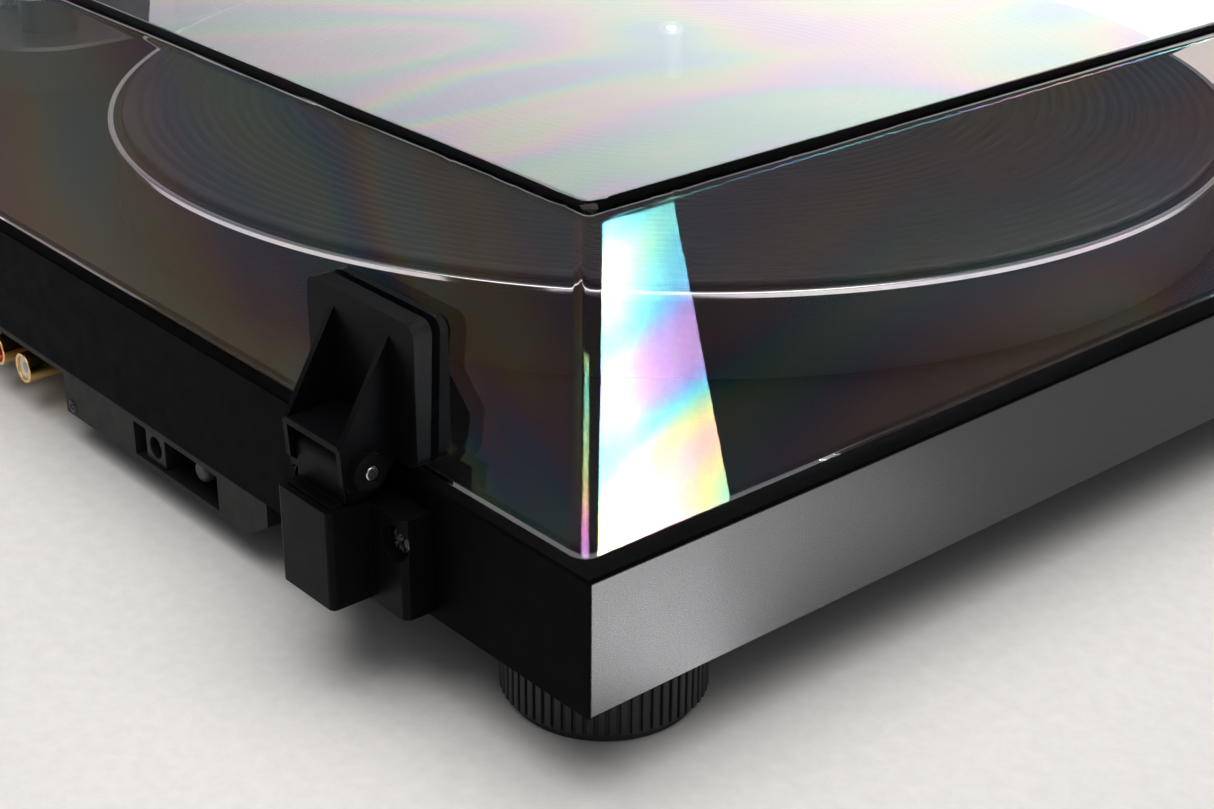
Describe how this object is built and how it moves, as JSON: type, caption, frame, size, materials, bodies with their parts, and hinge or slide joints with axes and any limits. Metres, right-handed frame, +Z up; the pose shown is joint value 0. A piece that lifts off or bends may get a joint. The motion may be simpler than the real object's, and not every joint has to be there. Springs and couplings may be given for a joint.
{
  "type": "turntable record player",
  "caption": "Record player on levelling feet with a belt-driven platter, straight tonearm and a clear dust cover hinged at the back.",
  "frame": {"origin": "on the floor, at the middle of the outline including the hinge sockets", "axes": "+X the player's right seen from its front, +Y its back, +Z up"},
  "size_m": [0.435, 0.372, 0.119],
  "materials": {
    "plinth_black": "satin black",
    "panel_metal": "fine satin metallic",
    "tray_black": "moulded black",
    "hinge_black": "satin black",
    "clear_acrylic": "polished clear",
    "bumper_clear": "translucent",
    "steel": "turned steel",
    "screw_black": "black oxide",
    "screw_zinc": "zinc plated",
    "gold": "gold plated",
    "insert_white": "gloss",
    "insert_red": "gloss",
    "connector_black": "moulded",
    "switch_grey": "gloss",
    "circuit_board": "solder mask",
    "bearing_brass": "turned",
    "motor_steel": "plated",
    "belt_rubber": "ground rubber",
    "pulley_metal": "turned",
    "sub_platter_plastic": "moulded",
    "platter_black": "satin black",
    "ring_polished": "polished",
    "mat_rubber": "ribbed rubber",
    "foot_black": "moulded black",
    "foot_rubber": "soft rubber",
    "arm_metal": "anodised",
    "arm_black": "satin black",
    "cartridge_black": "gloss",
    "stylus_white": "gloss",
    "control_metal": "spun"
  },
  "bodies": {
    "plinth": {"plinth_body": "plinth_black", "left_panel": "panel_metal", "right_panel": "panel_metal", "front_panel": "panel_metal", "foot_inserts": "bearing_brass", "bottom_tray": "tray_black", "tray_screws": "screw_zinc", "rca_shells": "gold", "rca_insert_white": "insert_white", "rca_insert_red": "insert_red", "ground_post": "gold", "line_switch": "connector_black", "dc_jack": "connector_black", "power_switch": "connector_black", "main_board": "circuit_board", "left_hinge_socket": "hinge_black", "right_hinge_socket": "hinge_black", "socket_screws": "screw_black", "bearing_well": "bearing_brass", "motor": "motor_steel", "drive_belt": "belt_rubber", "arm_base": "arm_black", "arm_rest": "arm_black"},
    "hinge_blocks": {"left_hinge_block": "hinge_black", "right_hinge_block": "hinge_black", "hinge_pins": "steel"},
    "cover": {"dust_cover": "clear_acrylic", "cover_bumpers": "bumper_clear", "left_hinge_leaf": "hinge_black", "right_hinge_leaf": "hinge_black"},
    "platter": {"platter": "platter_black", "platter_ring": "ring_polished", "platter_mat": "mat_rubber", "sub_platter": "sub_platter_plastic", "spindle": "steel"},
    "pulley": {"motor_pulley": "pulley_metal"},
    "yoke": {"arm_yoke": "arm_metal"},
    "arm": {"arm_tube": "arm_metal", "headshell": "arm_metal", "cartridge": "cartridge_black", "stylus": "stylus_white"},
    "force_dial": {"force_dial": "arm_metal"},
    "counterweight": {"counterweight": "arm_black"},
    "anti_skate_dial": {"anti_skate_dial": "control_metal"},
    "cue_lift": {"cue_lift": "arm_black"},
    "cue_lever": {"cue_lever": "arm_metal"},
    "arm_clip": {"arm_clip": "arm_black"},
    "start_button": {"start_button": "control_metal"},
    "speed_knob": {"speed_knob": "control_metal"},
    "power_button": {"power_button": "switch_grey"},
    "line_slider": {"line_slider": "switch_grey"},
    "ground_nut": {"ground_nut": "gold"},
    "front_left_pad": {"front_left_foot_pad": "foot_rubber"},
    "front_left_foot": {"front_left_foot": "foot_black"},
    "front_right_pad": {"front_right_foot_pad": "foot_rubber"},
    "front_right_foot": {"front_right_foot": "foot_black"},
    "back_left_pad": {"back_left_foot_pad": "foot_rubber"},
    "back_left_foot": {"back_left_foot": "foot_black"},
    "back_right_pad": {"back_right_foot_pad": "foot_rubber"},
    "back_right_foot": {"back_right_foot": "foot_black"}
  },
  "joints": [
    {"name": "cover_lift_off", "type": "slide", "parent": "plinth", "child": "hinge_blocks", "axis": [0, 0, 1], "range_m": [0, 0.02]},
    {"name": "cover_hinge", "type": "hinge", "parent": "hinge_blocks", "child": "cover", "pos_m": [0, 0.177, 0.0525], "axis": [-1, 0, 0], "range_deg": [0, 60]},
    {"name": "platter_spin", "type": "hinge", "parent": "plinth", "child": "platter", "pos_m": [-0.0524, -0.0013, 0.05], "axis": [0, 0, 1], "continuous": true},
    {"name": "pulley_spin", "type": "hinge", "parent": "plinth", "child": "pulley", "pos_m": [-0.0024, 0.0853, 0.05], "axis": [0, 0, 1], "continuous": true},
    {"name": "arm_swing", "type": "hinge", "parent": "plinth", "child": "yoke", "pos_m": [0.14297, 0.08798, 0.09], "axis": [0, 0, -1], "range_deg": [0, 47]},
    {"name": "arm_lift", "type": "hinge", "parent": "yoke", "child": "arm", "pos_m": [0.14297, 0.08798, 0.09], "axis": [-1, 0, 0], "range_deg": [0, 5.4]},
    {"name": "force_dial_turn", "type": "hinge", "parent": "arm", "child": "force_dial", "pos_m": [0.14297, 0.11798, 0.09], "axis": [0, 1, 0], "range_deg": [-180, 180]},
    {"name": "counterweight_turn", "type": "hinge", "parent": "arm", "child": "counterweight", "pos_m": [0.14297, 0.12798, 0.09], "axis": [0, 1, 0], "range_deg": [-360, 360]},
    {"name": "anti_skate_turn", "type": "hinge", "parent": "plinth", "child": "anti_skate_dial", "pos_m": [0.17997, 0.08598, 0.064], "axis": [0, 0, 1], "range_deg": [0, 270]},
    {"name": "cue_lift_slide", "type": "slide", "parent": "plinth", "child": "cue_lift", "axis": [0, 0, 1], "range_m": [0, 0.0041]},
    {"name": "cue_lever_turn", "type": "hinge", "parent": "plinth", "child": "cue_lever", "pos_m": [0.17397, 0.05798, 0.071], "axis": [-1, 0, 0], "range_deg": [0, 62]},
    {"name": "arm_clip_fold", "type": "hinge", "parent": "plinth", "child": "arm_clip", "pos_m": [0.14937, -0.01202, 0.094], "axis": [0, -1, 0], "range_deg": [0, 105]},
    {"name": "start_press", "type": "slide", "parent": "plinth", "child": "start_button", "axis": [0, 0, -1], "range_m": [0, 0.0015], "stiffness_N_per_m": 900, "springref_m": -0.0006},
    {"name": "speed_turn", "type": "hinge", "parent": "plinth", "child": "speed_knob", "pos_m": [-0.15, -0.155, 0.05], "axis": [0, 0, -1], "range_deg": [0, 60]},
    {"name": "power_press", "type": "slide", "parent": "plinth", "child": "power_button", "axis": [0, -1, 0], "range_m": [0, 0.003], "stiffness_N_per_m": 500, "springref_m": -0.0008},
    {"name": "line_slide", "type": "slide", "parent": "plinth", "child": "line_slider", "axis": [1, 0, 0], "range_m": [0, 0.0024]},
    {"name": "ground_nut_turn", "type": "hinge", "parent": "plinth", "child": "ground_nut", "pos_m": [0.0415, 0.164, 0.0136], "axis": [0, 1, 0], "continuous": true},
    {"name": "front_left_foot_height", "type": "slide", "parent": "plinth", "child": "front_left_pad", "axis": [0, 0, -1], "range_m": [0, 0.00375]},
    {"name": "front_left_foot_turn", "type": "hinge", "parent": "front_left_pad", "child": "front_left_foot", "pos_m": [-0.188, -0.1565, 0.01], "axis": [0, 0, -1], "range_deg": [0, 1080]},
    {"name": "front_right_foot_height", "type": "slide", "parent": "plinth", "child": "front_right_pad", "axis": [0, 0, -1], "range_m": [0, 0.00375]},
    {"name": "front_right_foot_turn", "type": "hinge", "parent": "front_right_pad", "child": "front_right_foot", "pos_m": [0.188, -0.1565, 0.01], "axis": [0, 0, -1], "range_deg": [0, 1080]},
    {"name": "back_left_foot_height", "type": "slide", "parent": "plinth", "child": "back_left_pad", "axis": [0, 0, -1], "range_m": [0, 0.00375]},
    {"name": "back_left_foot_turn", "type": "hinge", "parent": "back_left_pad", "child": "back_left_foot", "pos_m": [-0.188, 0.1395, 0.01], "axis": [0, 0, -1], "range_deg": [0, 1080]},
    {"name": "back_right_foot_height", "type": "slide", "parent": "plinth", "child": "back_right_pad", "axis": [0, 0, -1], "range_m": [0, 0.00375]},
    {"name": "back_right_foot_turn", "type": "hinge", "parent": "back_right_pad", "child": "back_right_foot", "pos_m": [0.188, 0.1395, 0.01], "axis": [0, 0, -1], "range_deg": [0, 1080]}
  ],
  "couplings": [
    {"joint": "pulley_spin", "follows": "platter_spin", "ratio": 10.333},
    {"joint": "cue_lift_slide", "follows": "arm_lift", "m_per_rad": 0.043502},
    {"joint": "cue_lever_turn", "follows": "arm_lift", "ratio": 11.481},
    {"joint": "front_left_foot_height", "follows": "front_left_foot_turn", "m_per_rad": 0.00019894},
    {"joint": "front_right_foot_height", "follows": "front_right_foot_turn", "m_per_rad": 0.00019894},
    {"joint": "back_left_foot_height", "follows": "back_left_foot_turn", "m_per_rad": 0.00019894},
    {"joint": "back_right_foot_height", "follows": "back_right_foot_turn", "m_per_rad": 0.00019894}
  ]
}
